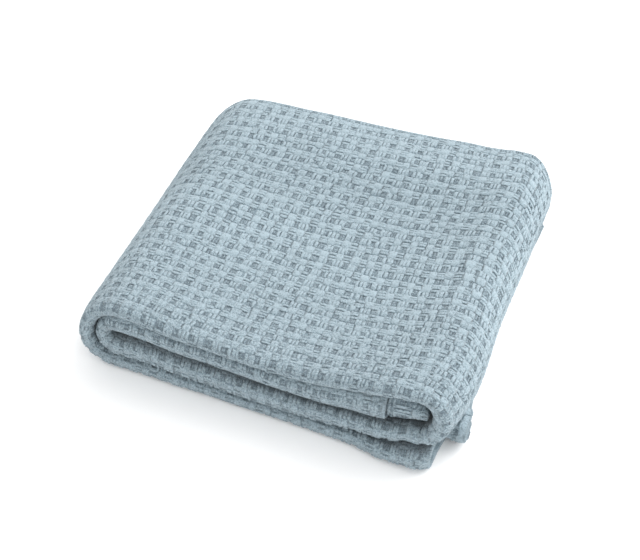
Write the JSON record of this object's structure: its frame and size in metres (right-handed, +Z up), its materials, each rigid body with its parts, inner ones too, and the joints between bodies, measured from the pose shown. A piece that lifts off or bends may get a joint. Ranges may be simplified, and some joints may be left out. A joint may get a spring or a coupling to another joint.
{
  "type": "crib blanket",
  "caption": "Folded woven cotton crib blanket in a soft block weave: a single cloth folded front to back and wrapped across into a low rectangular stack.",
  "frame": {"origin": "centre of the bounding box in X and Y, on the surface that the stack lies on", "axes": "+X to the right along the front folds, +Y from the front folds to the back edges, +Z up"},
  "size_m": [0.2458, 0.2273, 0.0645],
  "materials": {
    "blanket_cotton": "soft matte woven cotton with a raised block weave"
  },
  "bodies": {
    "root": {"blanket": "blanket_cotton"}
  },
  "joints": []
}
